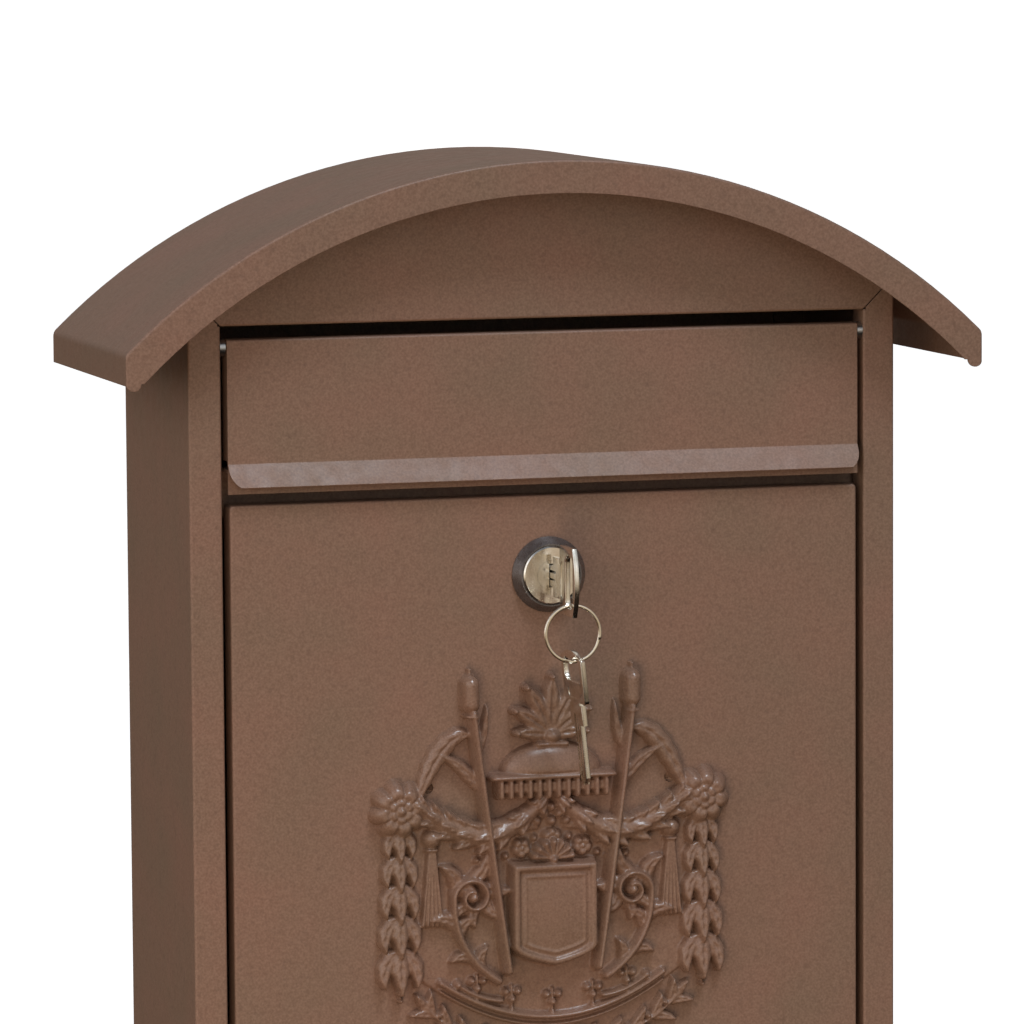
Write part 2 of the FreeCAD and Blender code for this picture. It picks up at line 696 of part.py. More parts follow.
# ---- keys ----
def flat_key():
    """Key with its shoulder at the origin, its tip towards +Y and its width along Z."""
    half = key_thickness / 2
    tip = blade_height / 3
    low, high = -blade_height / 2, blade_height / 2
    outline = [(0, low), (blade_length - tip, low), (blade_length, low + tip),
               (blade_length, high - tip), (blade_length - tip, high), (0, high)]
    blade = prism_x(outline, -half, half)
    for i, depth in enumerate(cut_depths):
        y = first_cut + cut_pitch * i
        notch = [(y - cut_mouth, high + 0.1), (y - cut_root, high - depth),
                 (y + cut_root, high - depth), (y + cut_mouth, high + 0.1)]
        cut = prism_x(notch, -half, half)
        blade = blade.cut(cut)
    shoulder = block(-half, half, -shoulder_length, 0, -shoulder_height / 2, shoulder_height / 2)
    neck = block(-half, half, -bow_start, -shoulder_length, -neck_height / 2, neck_height / 2)
    crown_radius = ((bow_height / 2) ** 2 + bow_crown ** 2) / (2 * bow_crown)
    bow = block(-half, half, -bow_end, -bow_start, -bow_height / 2, bow_height / 2)
    bow = bow.common(rod(crown_radius, (-half, crown_radius - bow_end, 0), (1, 0, 0), key_thickness))
    bow = rounded(bow, bow_corner, lambda edge: runs_along(edge, 0))
    hole_end = -bow_end + bow_end_rim
    hole = block(-half, half, hole_end, hole_end + bow_hole_length,
                 -bow_height / 2 + bow_side_rim, bow_height / 2 - bow_side_rim)
    hole = rounded(hole, bow_hole_corner, lambda edge: runs_along(edge, 0))
    return fuse_all([blade, shoulder, neck, bow.cut(hole)])


def lock_key():
    """Key that stands in the lock."""
    key = flat_key()
    key.translate(Vector(0, shoulder_y, lock_z))
    return key


def key_ring():
    """Wire ring through the key's bow, parallel to the door."""
    return Part.makeTorus(ring_radius, ring_wire, Vector(0, ring_y, ring_z), Vector(0, 1, 0))


def spare_key():
    """Second key, which hangs from the bottom of the ring with its tip down."""
    key = flat_key()
    wire_to_end = bow_end_rim + ring_wire + ring_clearance
    key.translate(Vector(0, bow_end - wire_to_end, 0))
    key.rotate(Vector(0, 0, 0), Vector(1, 0, 0), -90)
    key.rotate(Vector(0, 0, 0), Vector(0, 1, 0), -spare_lean)
    key.translate(Vector(0, ring_y, spare_wire_z))
    return key


# ---- the whole mailbox ----
def build():
    left_side = left_side_panel()
    right_side = mirrored(left_side)
    flap_pin = left_pin(flap_half, flap_axis_z)
    door_pin = left_pin(door_half, door_axis_z)
    cleat = left_roof_cleat()
    return {
        "roof_shell": roof_shell(),
        "gable_panel": gable_panel(),
        "left_side_panel": left_side,
        "right_side_panel": right_side,
        "back_panel": back_panel(),
        "bottom_pan": bottom_pan([left_side, right_side]),
        "slot_sill": slot_sill(),
        "left_roof_cleat": cleat,
        "right_roof_cleat": mirrored(cleat),
        "left_flap_pin": flap_pin,
        "right_flap_pin": mirrored(flap_pin),
        "left_door_pin": door_pin,
        "right_door_pin": mirrored(door_pin),
        "mail_flap": mail_flap(),
        "door_panel": door_panel(),
        "crest_casting": crest_casting(),
        "crest_clips": crest_clips(),
        "lock_bezel": lock_bezel(),
        "lock_housing": lock_housing(),
        "lock_nut": lock_nut(),
        "lock_plug": lock_plug(),
        "lock_cam": lock_cam(),
        "cam_washer": cam_washer(),
        "cam_screw": cam_screw(),
        "lock_key": lock_key(),
        "key_ring": key_ring(),
        "spare_key": spare_key(),
    }


os.makedirs("parts", exist_ok=True)
for name, shape in build().items():
    state = "valid" if shape.isValid() else "INVALID"
    print(name, state, "solids", len(shape.Solids), round(shape.Volume, 1))
    shape.exportStep("parts/" + name + ".step")
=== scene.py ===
import math

import bmesh
import bpy
import numpy as np
from mathutils import Matrix, Vector


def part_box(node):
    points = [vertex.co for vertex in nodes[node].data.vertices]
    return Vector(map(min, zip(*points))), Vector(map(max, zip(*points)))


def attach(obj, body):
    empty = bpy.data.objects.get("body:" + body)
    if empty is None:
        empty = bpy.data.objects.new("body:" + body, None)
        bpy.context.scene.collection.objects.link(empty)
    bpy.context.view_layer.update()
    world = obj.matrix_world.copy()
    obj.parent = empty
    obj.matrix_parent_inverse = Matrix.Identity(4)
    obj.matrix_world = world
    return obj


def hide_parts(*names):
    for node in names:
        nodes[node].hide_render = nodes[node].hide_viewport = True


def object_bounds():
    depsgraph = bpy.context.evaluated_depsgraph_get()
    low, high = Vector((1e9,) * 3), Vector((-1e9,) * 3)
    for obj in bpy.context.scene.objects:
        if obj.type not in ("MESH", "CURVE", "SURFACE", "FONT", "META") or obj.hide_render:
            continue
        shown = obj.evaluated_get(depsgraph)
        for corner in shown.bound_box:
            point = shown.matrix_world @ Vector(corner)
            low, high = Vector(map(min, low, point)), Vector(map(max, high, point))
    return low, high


# Looks of the wall mounted mailbox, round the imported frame.
# X is to the right of a person who faces the box, +Y goes into the wall and Z is up.
# Blender's unit is the metre. Shapes are worked out in millimetres and scaled by MM.
MM = 0.001

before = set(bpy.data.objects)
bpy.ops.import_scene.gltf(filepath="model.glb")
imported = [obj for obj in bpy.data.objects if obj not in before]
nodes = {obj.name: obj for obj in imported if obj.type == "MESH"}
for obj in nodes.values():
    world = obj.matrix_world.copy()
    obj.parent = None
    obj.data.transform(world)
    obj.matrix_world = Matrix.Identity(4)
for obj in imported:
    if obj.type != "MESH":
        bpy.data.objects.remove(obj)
cad_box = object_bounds()


def box_mm(node):
    """Lowest and highest corner of a CAD node, in millimetres."""
    low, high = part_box(node)
    return low / MM, high / MM


door_front = box_mm("door_panel")[0].y
crest_low, crest_high = box_mm("crest_casting")
key_low, key_high = box_mm("lock_key")
ring_low, ring_high = box_mm("key_ring")


# ---- material helpers ----
def new_material(name):
    """New material, with its node tree and its shader."""
    material = bpy.data.materials.new(name)
    material.use_nodes = True
    tree = material.node_tree
    return material, tree, tree.nodes["Principled BSDF"]


def link(tree, source, target):
    """Joins an output socket to an input socket."""
    tree.links.new(source, target)


def object_place(tree):
    """Place on the object, in metres, which moves with the part."""
    return tree.nodes.new("ShaderNodeTexCoord").outputs["Object"]


def noise(tree, place, feature_mm, detail=2.0, roughness=0.5, stretch=None):
    """Noise whose blobs are about feature_mm across, from 0 to 1."""
    if stretch:
        mapping = tree.nodes.new("ShaderNodeMapping")
        mapping.inputs["Scale"].default_value = stretch
        link(tree, place, mapping.inputs["Vector"])
        place = mapping.outputs["Vector"]
    texture = tree.nodes.new("ShaderNodeTexNoise")
    texture.inputs["Scale"].default_value = 1 / (feature_mm * MM)
    texture.inputs["Detail"].default_value = detail
    texture.inputs["Roughness"].default_value = roughness
    link(tree, place, texture.inputs["Vector"])
    return texture.outputs["Fac"]


def spread(tree, value, low, high, from_low=0.3, from_high=0.7):
    """Stretches a noise value to the range low to high."""
    node = tree.nodes.new("ShaderNodeMapRange")
    node.inputs["From Min"].default_value = from_low
    node.inputs["From Max"].default_value = from_high
    node.inputs["To Min"].default_value = low
    node.inputs["To Max"].default_value = high
    link(tree, value, node.inputs["Value"])
    return node.outputs["Result"]


def mixed(tree, amount, first, second, blend="MIX"):
    """Mix of two colours. Each colour and the amount is a number, a tuple or a socket."""
    node = tree.nodes.new("ShaderNodeMix")
    node.data_type = "RGBA"
    node.blend_type = blend
    for socket, value in ((node.inputs[0], amount), (node.inputs[6], first), (node.inputs[7], second)):
        if isinstance(value, bpy.types.NodeSocket):
            link(tree, value, socket)
        else:
            socket.default_value = value
    return node.outputs[2]


def bumped(tree, height, distance_mm, strength, base=None):
    """Normal that follows a height from 0 to 1, distance_mm high."""
    node = tree.nodes.new("ShaderNodeBump")
    node.inputs["Distance"].default_value = distance_mm * MM
    node.inputs["Strength"].default_value = strength
    link(tree, height, node.inputs["Height"])
    if base:
        link(tree, base, node.inputs["Normal"])
    return node.outputs["Normal"]


def soft_edges(tree, radius_mm):
    """Normal that rounds every edge by a small radius."""
    node = tree.nodes.new("ShaderNodeBevel")
    node.samples = 4
    node.inputs["Radius"].default_value = radius_mm * MM
    return node.outputs["Normal"]


# ---- materials ----
PAINT_WARM = (0.246, 0.123, 0.081, 1)
PAINT_COOL = (0.204, 0.121, 0.077, 1)
PAINT_DARK = (0.118, 0.065, 0.045, 1)
PAINT_DUST = (0.325, 0.207, 0.151, 1)


def powder_coat(name, grain_mm, edge_mm, smooth, rough):
    """Satin brown powder coat: cloudy colour, a fine grain and a slight orange peel."""
    material, tree, shader = new_material(name)
    place = object_place(tree)
    clouds = spread(tree, noise(tree, place, 38, 3), 0, 1)
    specks = spread(tree, noise(tree, place, grain_mm, 2), 0, 1)
    pits = spread(tree, noise(tree, place, 2.5 * grain_mm, 3), 0, 0.35, 0.55, 0.75)
    colour = mixed(tree, clouds, PAINT_WARM, PAINT_COOL)
    grain = mixed(tree, 0.34, colour, mixed(tree, specks, PAINT_DARK, PAINT_DUST))
    link(tree, mixed(tree, pits, grain, PAINT_DARK), shader.inputs["Base Color"])
    link(tree, spread(tree, noise(tree, place, 6, 2), smooth, rough), shader.inputs["Roughness"])
    rounded_edge = soft_edges(tree, edge_mm)
    peel = bumped(tree, noise(tree, place, 3.2, 1), 0.05, 0.35, rounded_edge)
    link(tree, bumped(tree, specks, 0.03, 0.45, peel), shader.inputs["Normal"])
    return material


def gloss_paint(name):
    """Dark metallic paint of the bezel."""
    material, tree, shader = new_material(name)
    place = object_place(tree)
    mottle = spread(tree, noise(tree, place, 4, 2), 0, 1)
    colour = mixed(tree, mottle, (0.150, 0.130, 0.125, 1), (0.215, 0.200, 0.200, 1))
    link(tree, colour, shader.inputs["Base Color"])
    link(tree, spread(tree, noise(tree, place, 1.5, 2), 0.24, 0.34), shader.inputs["Roughness"])
    link(tree, bumped(tree, noise(tree, place, 1.2, 2), 0.02, 0.25), shader.inputs["Normal"])
    shader.inputs["Metallic"].default_value = 0.8
    shader.inputs["Coat Weight"].default_value = 0.5
    shader.inputs["Coat Roughness"].default_value = 0.15
    return material


def plated_metal(name, light, shade, smooth, rough, grain_mm, stretch=None):
    """Bare or plated metal with fine marks; stretch draws the marks out along an axis."""
    material, tree, shader = new_material(name)
    place = object_place(tree)
    stain = spread(tree, noise(tree, place, 6, 3), 0, 1)
    link(tree, mixed(tree, stain, light, shade), shader.inputs["Base Color"])
    marks = noise(tree, place, grain_mm, 4, 0.6, stretch)
    link(tree, spread(tree, marks, smooth, rough), shader.inputs["Roughness"])
    link(tree, bumped(tree, marks, 0.02, 0.5), shader.inputs["Normal"])
    shader.inputs["Metallic"].default_value = 1.0
    return material


brown_paint = powder_coat("brown_paint", grain_mm=0.9, edge_mm=0.35, smooth=0.44, rough=0.54)
crest_paint = powder_coat("crest_paint", grain_mm=0.8, edge_mm=0.25, smooth=0.22, rough=0.32)
bezel_paint = gloss_paint("bezel_paint")
lock_chrome = plated_metal("lock_chrome", (0.93, 0.90, 0.84, 1), (0.78, 0.71, 0.61, 1),
                           smooth=0.08, rough=0.20, grain_mm=0.9, stretch=(1, 1, 3))
zinc_steel = plated_metal("zinc_steel", (0.62, 0.62, 0.62, 1), (0.48, 0.49, 0.50, 1),
                          smooth=0.28, rough=0.42, grain_mm=1.5, stretch=(1, 1, 2))
key_nickel = plated_metal("key_nickel", (0.95, 0.92, 0.86, 1), (0.80, 0.73, 0.60, 1),
                          smooth=0.12, rough=0.28, grain_mm=0.7, stretch=(1, 1, 4))
ring_nickel = plated_metal("ring_nickel", (0.97, 0.93, 0.84, 1), (0.86, 0.75, 0.58, 1),
                           smooth=0.10, rough=0.22, grain_mm=1.0)

SLOT_MATERIALS = {
    "brown_paint": brown_paint,
    "crest_paint": crest_paint,
    "bezel_paint": bezel_paint,
    "lock_chrome": lock_chrome,
    "zinc_steel": zinc_steel,
    "key_nickel": key_nickel,
    "ring_nickel": ring_nickel,
}


def paint_cad_nodes():
    """Gives each CAD node the finish that its own material slot names."""
    for node in nodes.values():
        for slot in node.material_slots:
            slot.material = SLOT_MATERIALS[slot.material.name.split(".")[0]]


# ---- mesh helpers ----
def mesh_object(name, mesh, material, body, replaced):
    """Puts a finished mesh into the scene, riding on a body in place of a CAD node."""
    piece = bpy.data.objects.new(name, mesh)
    bpy.context.scene.collection.objects.link(piece)
    mesh.materials.append(material)
    for polygon in mesh.polygons:
        polygon.use_smooth = True
    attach(piece, body)
    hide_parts(replaced)
    return piece


# ---- relief: the ornament as heights over the door's face, in mm ----
# A place ending in _Z is from the ornament's top, so it is negative. Points are (x, z), x from its middle.
GRID_STEP = 0.2
GRID_MARGIN = 1.6
RELIEF_FLOOR = -0.7            # inside the door's sheet
RELIEF_BLUR = 0.26
PALMETTE_Z = -27.0
BOWL_Z = -41.2
BOWL_RADIUS = 21.0
BOWL_RISE = 12.0
BOWL_RIM_HALF = 25.2
FLUTE_BAND_HALF = 23.6
FLUTES = 12
SWAG_Z = -50.0
SWAG_SAG = 15.5
ROSETTE_Z = -54.0
ROSETTE_INSET = 12.4           # from the ornament's side
ROSETTE_RADIUS = 12.2
SHIELD_Z = -76.4
SHIELD_HALF = 18.4
SHIELD_SIDE = 34
SHIELD_POINT = 9
SHIELD_RIM = 3.4
REED_HEAD = (33.4, -8.6)
REED_FOOT = (18.6, -120.0)
SCROLL_ROOT = (22.5, -124.0)
SCROLL_EYE = (33.0, -90.0)
SCROLL_RADIUS = 7.8
TASSEL_INSET = 25.6            # from the ornament's side
TASSEL_Z = -66.0
BASE_Z = -141.0
BASE_HALF = 46.0
KNOT_Z = -151.5


def bent(start, middle, end, count=24):
    """Points of a smooth curve from start to end that is pulled towards middle."""
    t = np.linspace(0, 1, count)[:, None]
    a, b, c = (np.array(point, float) for point in (start, middle, end))
    return (1 - t) ** 2 * a + 2 * t * (1 - t) * b + t ** 2 * c


def arc(centre, radius, start, end, count=32):
    """Points of an arc between two angles in degrees, anticlockwise from the right."""
    angle = np.radians(np.linspace(start, end, count))
    return np.stack([centre[0] + radius * np.cos(angle), centre[1] + radius * np.sin(angle)], 1)


def spiral(centre, outer, inner, start, end, count=60):
    """Points of a spiral that tightens from outer to inner radius."""
    angle = np.radians(np.linspace(start, end, count))
    radius = np.linspace(outer, inner, count)
    return np.stack([centre[0] + radius * np.cos(angle), centre[1] + radius * np.sin(angle)], 1)


def heading_at(line, index):
    """Unit direction of a line at one of its points."""
    way = line[index + 1] - line[index]
    return way / np.hypot(*way)


def swung(heading, degrees):
    """A direction turned anticlockwise by an angle."""
    angle = math.radians(degrees)
    return np.array([heading[0] * math.cos(angle) - heading[1] * math.sin(angle),
                     heading[0] * math.sin(angle) + heading[1] * math.cos(angle)])


def along(line, x, z):
    """Signed distance of each grid point from a line, and its place along it from 0 to 1."""
    start = line[:-1]
    span = line[1:] - start
    length = np.hypot(span[:, 0], span[:, 1])
    offset_x = x[..., None] - start[:, 0]
    offset_z = z[..., None] - start[:, 1]
    t = np.clip((offset_x * span[:, 0] + offset_z * span[:, 1]) / length ** 2, 0, 1)
    away_x = offset_x - t * span[:, 0]
    away_z = offset_z - t * span[:, 1]
    distance = np.hypot(away_x, away_z)
    nearest = distance.argmin(-1)[..., None]
    run = np.concatenate([[0], np.cumsum(length)])
    place = (run[nearest] + np.take_along_axis(t, nearest, -1) * length[nearest]) / run[-1]
    turn = span[nearest, 0] * np.take_along_axis(away_z, nearest, -1)
    turn = turn - span[nearest, 1] * np.take_along_axis(away_x, nearest, -1)
    signed = np.take_along_axis(distance, nearest, -1) * np.where(turn < 0, -1, 1)
    return signed[..., 0], place[..., 0]


def reach_inside(outline, x, z):
    """Distance of each grid point inside a closed outline; negative outside it."""
    closed = np.vstack([outline, outline[:1]])
    inside = np.zeros(x.shape, bool)
    for (x0, z0), (x1, z1) in zip(closed[:-1], closed[1:]):
        if z0 != z1:
            crosses = (z0 > z) != (z1 > z)
            inside ^= crosses & (x < (x1 - x0) * (z - z0) / (z1 - z0) + x0)
    distance = np.abs(along(closed, x, z)[0])
    return np.where(inside, distance, -distance)


def dome(share, power=2.0):
    """Height of a rounded section, 1 in the middle and 0 where share reaches 1, falling on outside."""
    inside = np.clip(1 - np.clip(share, 0, 1) ** power, 0, 1) ** (1 / power)
    return np.where(share < 1, inside, (1 - share) * 3)


class Relief:
    """Heights over the door's face, on a fine grid over the right half of the ornament.
    x is from the centre line, and z is from the ornament's top, so it is negative."""

    def __init__(self, half_width, depth):
        self.x = np.arange(0, half_width + GRID_MARGIN, GRID_STEP)
        self.z = np.arange(-depth - GRID_MARGIN, GRID_MARGIN, GRID_STEP)
        self.height = np.full((len(self.z), len(self.x)), RELIEF_FLOOR)

    def window(self, points, margin):
        """The part of the grid round some points, and its coordinates."""
        low = np.min(points, 0) - margin
        high = np.max(points, 0) + margin
        columns = slice(*np.searchsorted(self.x, (low[0], high[0])))
        rows = slice(*np.searchsorted(self.z, (low[1], high[1])))
        x, z = np.meshgrid(self.x[columns], self.z[rows])
        return (rows, columns), x, z

    def merge(self, part, shape, fillet=0.5):
        """Raises part of the grid to a shape, with a small fillet where the two meet."""
        old = self.height[part]
        near = np.clip(1 - np.abs(old - shape) / fillet, 0, 1)
        near[np.minimum(old, shape) <= 0] = 0
        joined = np.maximum(old, shape) + near ** 2 * fillet / 4
        self.height[part] = np.maximum(joined, RELIEF_FLOOR)

    def band(self, line, half_width, top, power=2.0, ripple=None):
        """Rounded band along a line. Its half width and top are numbers or functions of the place."""
        widest = half_width
        if not np.isscalar(half_width):
            widest = max(half_width(t) for t in np.linspace(0, 1, 21))
        part, x, z = self.window(line, widest + 1)
        distance, place = along(line, x, z)
        half = half_width if np.isscalar(half_width) else half_width(place)
        share = np.abs(distance) / half
        height = (top if np.isscalar(top) else top(place)) * dome(share, power)
        if ripple:
            height = height + ripple(distance / half, place) * np.clip(dome(share), 0, 1)
        self.merge(part, height)

    def leaf(self, line, half_width, low, top, veins=5, groove=0.8, curl=0.0):
        """Pointed leaf from the first point to the last, rising from low to top, with a groove and veins."""
        part, x, z = self.window(line, half_width + 1)
        distance, place = along(line, x, z)
        outline = np.sin(np.pi * np.clip(place, 0, 1) ** 0.75) ** 0.75
        half = half_width * np.clip(outline, 0.02, 1) * (1 + 0.05 * np.cos(2 * np.pi * veins * place))
        share = np.abs(distance) / half
        height = (low + (top - low) * place ** 0.8 - curl * place ** 4) * dome(share, 2.4)
        height = height - groove * np.exp(-(distance / 0.55) ** 2) * np.sin(np.pi * place)
        veined = 0.22 * np.cos(2 * np.pi * (veins * place - 1.1 * np.abs(share)))
        self.merge(part, np.where(share < 0.9, height + veined * np.clip(1 - share, 0, 1), height), 0.3)

    def bead(self, centre, radius, top, stretch=1.0):
        """Round or oval boss."""
        part, x, z = self.window([centre], radius * max(stretch, 1) + 1)
        share = np.hypot(x - centre[0], (z - centre[1]) / stretch) / radius
        self.merge(part, top * dome(share))

    def rosette(self, centre, radius, top, petals, turn=0.0, hollow=0.3):
        """Flower of round petals about a raised eye, hollowed round the eye."""
        part, x, z = self.window([centre], radius + 1)
        away = np.hypot(x - centre[0], z - centre[1])
        angle = np.arctan2(z - centre[1], x - centre[0]) + turn
        swell = np.abs(np.cos(angle * petals / 2))
        share = away / (radius * (0.80 + 0.20 * swell ** 0.7))
        cup = 1 - hollow + hollow * np.sin(np.pi * np.clip(share, 0, 1) ** 1.6)
        seam = 0.9 * np.exp(-((swell * away) / (0.13 * radius)) ** 2) * np.clip(share * 2, 0, 1)
        self.merge(part, top * cup * dome(share, 3.0) - np.where(share < 0.97, seam, 0))
        self.bead(centre, radius * 0.27, top * 1.05)

    def plate(self, outline, top, edge):
        """Flat plate inside a closed outline, whose edge slopes over a short way."""
        part, x, z = self.window(outline, 1.5)
        reach = reach_inside(outline, x, z)
        self.merge(part, top * np.clip(reach / edge, -3, 1))

    def softened(self, width):
        """Whole field with its left half, blurred a little and thinned to every second point."""
        field = np.concatenate([self.height[:, :0:-1], self.height], 1)
        steps = np.arange(-4, 5)
        weights = np.exp(-(steps * GRID_STEP / width) ** 2 / 2)
        weights /= weights.sum()
        for axis in (0, 1):
            field = sum(weight * np.roll(field, int(shift), axis)
                        for shift, weight in zip(steps, weights))
        across = np.concatenate([-self.x[:0:-1], self.x])
        return across[::2], self.z[::2], field[::2, ::2]


# ---- the ornament: a classical relief of leaves and flowers, with a bowl and a blank shield ----
def palmette(relief, heart):
    """Fan of leaves over a small collar."""
    for tilt, length, width in ((84, 16, 3.4), (56, 20, 4.0), (28, 23.5, 4.4), (0, 25, 4.8)):
        sine, cosine = math.sin(math.radians(tilt)), math.cos(math.radians(tilt))
        tip = (heart[0] + length * sine, heart[1] + length * cosine)
        middle = (heart[0] + 0.55 * length * sine * 0.8, heart[1] + 0.62 * length * cosine + 1.0)
        line = bent(heart, middle, tip)
        relief.leaf(line, width, 4.0, 7.6, veins=4, groove=1.3, curl=1.0)
        relief.bead((tip[0] - 1.5 * sine, tip[1] - 1.5 * cosine), 1.7, 7.6)
    relief.bead(heart, 4.2, 7.8, 0.8)
    relief.band(bent((-6, heart[1] - 3.2), (0, heart[1] - 3.0), (6, heart[1] - 3.2)), 1.3, 6.6)


def covered_bowl(relief, base):
    """Low dome on a straight fluted band."""
    dome_part, x, z = relief.window([(0, base), (BOWL_RADIUS, base + BOWL_RISE)], 1.5)
    share = np.hypot(x / BOWL_RADIUS, np.clip(z - base, 0, None) / BOWL_RISE)
    rise = 8.6 * dome(share, 2.2) * np.clip((z - base + 2) / 2, 0, 1)
    relief.merge(dome_part, np.where(z > base - 2, rise, RELIEF_FLOOR))
    for half_width, low, high, top in ((BOWL_RIM_HALF, base - 3.2, base + 0.2, 8.6),
                                       (FLUTE_BAND_HALF, base - 8.4, base - 3, 6.4)):
        edge = np.array([(-half_width, low), (half_width, low), (half_width, high), (-half_width, high)])
        relief.plate(edge, top, 0.7)
    relief.band(np.array([(-25.0, base - 1.6), (25.0, base - 1.6)]), 1.3, 9.2)
    pitch = 2 * FLUTE_BAND_HALF / FLUTES
    for i in range(FLUTES // 2):
        x = pitch * (i + 0.5)
        relief.band(np.array([(x, base - 3.6), (x, base - 9.2)]), 1.55, 8.2, 2.6)


def garland(relief, start, end, sag, count):
    """Swag of overlapping laurel leaves from one point to another."""
    t = np.linspace(0, 1, 40)
    x = start[0] + (end[0] - start[0]) * t
    z = start[1] + (end[1] - start[1]) * t - sag * np.sin(np.pi * t ** 0.92)
    line = np.stack([x, z], 1)
    relief.band(line, lambda t: 1.6 + 3.1 * np.sin(np.pi * np.clip(t, 0, 1)) ** 0.6 + 0.8 * t,
                lambda t: 5.2 + 2.2 * np.sin(np.pi * t))
    for i in range(count):
        place = (i + 0.35) / count
        index = int(place * 38)
        here = line[index]
        heading = heading_at(line, index)
        swell = 0.55 + 0.45 * math.sin(math.pi * place)
        for side in (-1, 1):
            way = swung(heading, side * 24)
            root = here + side * swell * 2.2 * np.array([-heading[1], heading[0]])
            relief.leaf(bent(root, root + 4.5 * heading, root + 10.4 * swell * way), 2.9 * swell,
                        5.0, 8.0, 3, 0.6)
        relief.leaf(bent(here, here + 4.5 * heading, here + 9.6 * swell * heading), 2.7 * swell,
                    6.6, 9.3, 3, 0.6)


def husk_drop(relief, top, count, length, width):
    """Chain of bellflowers, each hanging out of the one above."""
    x, z = top
    for i in range(count):
        grow = 0.72 + 0.28 * i / (count - 1)
        reach, half = length * grow, width * grow / 2
        for side in (-1, 1):
            relief.leaf(bent((x + side * 0.8, z), (x + side * half * 1.25, z - 0.45 * reach),
                             (x + side * half * 0.86, z - reach)), half * 0.52, 3.4, 6.2, 4, 0.6)
        relief.leaf(bent((x, z), (x, z - reach / 2), (x, z - 1.14 * reach)), half * 0.56, 4.6, 7.6, 4, 0.8)
        relief.bead((x, z - 0.4), 1.9 * grow, 7.4)
        z -= reach * 0.93
    relief.bead((x, z - 2.4), 1.9, 6.4)
    relief.bead((x, z - 5.6), 1.3, 5.0)


def tassel(relief, top, length):
    """Ball with a ribbed skirt under it, hung by a cord."""
    x, z = top
    relief.band(bent((x + 6.0, z + 8.5), (x + 1.0, z + 7.0), (x, z + 3.0)), 0.9, 4.0)
    foot = z - length
    edge = np.array([(x - 1.9, z - 3), (x + 1.9, z - 3), (x + 4.6, foot), (x - 4.6, foot)])
    relief.plate(edge, 3.0, 0.8)
    for i in range(5):
        spread_x = (i - 2) / 2
        relief.band(bent((x + 1.3 * spread_x, z - 4.5), (x + 2.2 * spread_x, z - length / 2),
                         (x + 3.9 * spread_x, foot - 0.6)), lambda t: 0.62 + 0.34 * t, 4.6)
    relief.band(np.array([(x - 2.0, z - 4.4), (x + 2.0, z - 4.4)]), 0.9, 5.2)
    relief.bead((x, z), 4.1, 6.8)


def bulrush(relief, head, foot):
    """Bulrush that leans inwards, with a long leaf that falls outwards from below its head."""
    x, z = head
    stem = bent((x - 0.6, z - 8.0), ((x + foot[0]) / 2 + 0.8, (z + foot[1]) / 2), foot, 40)
    falling = bent((x - 1.0, z - 17), (x + 11.5, z - 13), (x + 23.0, z - 45))
    relief.leaf(falling, 4.4, 3.6, 5.4, 7, 0.9)
    rising = bent((x - 5.5, z - 41), (x + 1.5, z - 29), (x + 13.0, z - 24))
    relief.leaf(rising, 2.9, 3.4, 4.8, 5, 0.7)
    inner = bent((x - 3.2, z - 26), (x - 6.5, z - 18), (x - 7.0, z - 5))
    relief.leaf(inner, 1.9, 3.0, 4.6, 4, 0.5)
    relief.band(stem, 2.3, 8.8, 1.7)
    relief.band(np.array([(x, z + 3.4), (x - 0.15, z - 4.6)]), 4.0, 8.2, 2.2,
                lambda across, place: 0.12 * np.cos(9 * across) * np.cos(34 * place))
    relief.band(np.array([(x, z + 5.0), (x + 0.1, z + 10.2)]), 0.8, 4.0)
    relief.band(np.array([(x - 2.2, z - 9.4), (x + 1.8, z - 9.2)]), 0.9, 8.8)


def shield_outline(half_width, top, side_length, point):
    """Square shoulders and a low pointed base."""
    low = top - side_length
    right = bent((half_width, low), (half_width * 0.96, low - 0.62 * point), (0, low - point), 14)
    left = right[-2::-1] * np.array([-1, 1])
    return np.vstack([[(-half_width, top), (half_width, top)], right, left])


def plain_shield(relief, half_width, top):
    """Blank shield with a moulded rim round a gently domed field."""
    outline = shield_outline(half_width, top, SHIELD_SIDE, SHIELD_POINT)
    part, x, z = relief.window(outline, 1.5)
    reach = reach_inside(outline, x, z)
    middle = top - 20.0
    field = np.clip((reach - SHIELD_RIM) / 0.7, 0, 1)
    swell = 1.5 * np.clip(1 - (x / half_width) ** 2 - ((z - middle) / 24) ** 2, 0, 1)
    line = 0.5 * np.exp(-((reach - 1.8 * SHIELD_RIM) / 0.55) ** 2)
    relief.merge(part, 9.0 * np.clip(reach / 1.5, -3, 1) + field * (swell - 2.0) + line)


def shell(relief, heart):
    """Small scallop over the shield."""
    for tilt in (78, 52, 26, 0):
        sine, cosine = math.sin(math.radians(tilt)), math.cos(math.radians(tilt))
        tip = (heart[0] + 7.6 * sine, heart[1] + 7.0 * cosine)
        relief.band(bent(heart, ((heart[0] + tip[0]) / 2, (heart[1] + tip[1]) / 2), tip),
                    lambda t: 0.7 + 1.15 * t, lambda t: 5.6 + 2.4 * t, 2.2)
    relief.bead(heart, 2.4, 8.4)


def berries(relief, places, radius, top):
    """Equal round beads at several places."""
    for x, z in places:
        relief.bead((x, z), radius, top)


